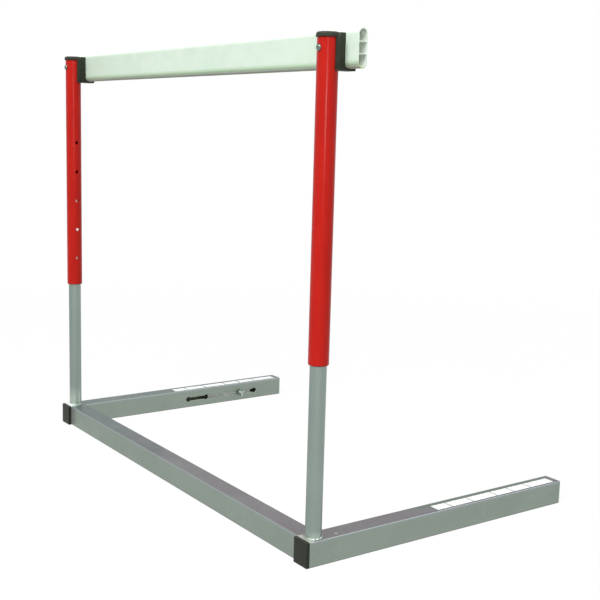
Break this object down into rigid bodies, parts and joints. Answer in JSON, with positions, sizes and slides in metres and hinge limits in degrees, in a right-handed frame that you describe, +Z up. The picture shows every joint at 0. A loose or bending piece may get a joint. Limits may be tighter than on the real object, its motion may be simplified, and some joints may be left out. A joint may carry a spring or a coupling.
{
  "type": "track hurdle",
  "caption": "Height-adjustable track hurdle: box-tube base with sliding counterweights, telescoping uprights locked by snap buttons, and a hollow rounded crossbar.",
  "frame": {"origin": "on the ground, in the middle of the hurdle's length and depth", "axes": "+X along the crossbar to the right upright, +Y from the uprights to the rear ends of the feet, +Z up"},
  "size_m": [1.2, 0.696, 0.991],
  "materials": {
    "aluminium": "mill finish, lightly brushed",
    "red_paint": "glossy powder coat",
    "black_plastic": "fine moulded texture",
    "nylon": "natural nylon",
    "bar_plastic": "smooth extruded plastic, satin",
    "label_film": null,
    "bright_steel": "zinc plated",
    "plain_steel": "cold drawn bar"
  },
  "bodies": {
    "base": {"cross_member": "aluminium", "left_foot": "aluminium", "right_foot": "aluminium", "left_front_plug": "black_plastic", "right_front_plug": "black_plastic", "left_rear_plug": "black_plastic", "right_rear_plug": "black_plastic", "left_scale_label": "label_film", "right_scale_label": "label_film", "left_post": "aluminium", "right_post": "aluminium", "left_post_glide": "nylon", "right_post_glide": "nylon"},
    "bar_frame": {"crossbar": "bar_plastic", "left_outer_tube": "red_paint", "right_outer_tube": "red_paint", "left_bar_bracket": "black_plastic", "right_bar_bracket": "black_plastic", "left_bracket_bolt": "bright_steel", "right_bracket_bolt": "bright_steel", "left_bracket_nut": "bright_steel", "right_bracket_nut": "bright_steel"},
    "left_button": {"left_snap_button": "bright_steel"},
    "right_button": {"right_snap_button": "bright_steel"},
    "left_weight": {"left_counterweight": "plain_steel"},
    "right_weight": {"right_counterweight": "plain_steel"},
    "left_cone": {"left_clamp_cone": "bright_steel"},
    "right_cone": {"right_clamp_cone": "bright_steel"},
    "left_screw": {"left_hand_screw": "bright_steel"},
    "right_screw": {"right_hand_screw": "bright_steel"}
  },
  "joints": [
    {"name": "bar_height", "type": "slide", "parent": "base", "child": "bar_frame", "axis": [0, 0, 1], "range_m": [-0.2286, 0.0762], "deforming": ["left_snap_button", "right_snap_button"]},
    {"name": "left_button_press", "type": "slide", "parent": "base", "child": "left_button", "axis": [-1, 0, 0], "range_m": [0, 0.0052], "stiffness_N_per_m": 800, "springref_m": -0.004, "deforming": ["left_snap_button"]},
    {"name": "right_button_press", "type": "slide", "parent": "base", "child": "right_button", "axis": [1, 0, 0], "range_m": [0, 0.0052], "stiffness_N_per_m": 800, "springref_m": -0.004, "deforming": ["right_snap_button"]},
    {"name": "left_weight_slide", "type": "slide", "parent": "base", "child": "left_weight", "axis": [0, 1, 0], "range_m": [-0.177, 0.0504]},
    {"name": "right_weight_slide", "type": "slide", "parent": "base", "child": "right_weight", "axis": [0, 1, 0], "range_m": [-0.177, 0.0504]},
    {"name": "left_cone_travel", "type": "slide", "parent": "left_weight", "child": "left_cone", "axis": [-1, 0, 0], "range_m": [0, 0.0025]},
    {"name": "right_cone_travel", "type": "slide", "parent": "right_weight", "child": "right_cone", "axis": [1, 0, 0], "range_m": [0, 0.0025]},
    {"name": "left_screw_turn", "type": "hinge", "parent": "left_cone", "child": "left_screw", "pos_m": [-0.53, 0.20306, 0.0235], "axis": [-1, 0, 0], "range_deg": [0, 720]},
    {"name": "right_screw_turn", "type": "hinge", "parent": "right_cone", "child": "right_screw", "pos_m": [0.53, 0.20306, 0.0235], "axis": [1, 0, 0], "range_deg": [0, 720]}
  ],
  "couplings": [
    {"joint": "left_screw_turn", "follows": "left_cone_travel", "rad_per_m": 5026.5},
    {"joint": "right_screw_turn", "follows": "right_cone_travel", "rad_per_m": 5026.5}
  ]
}
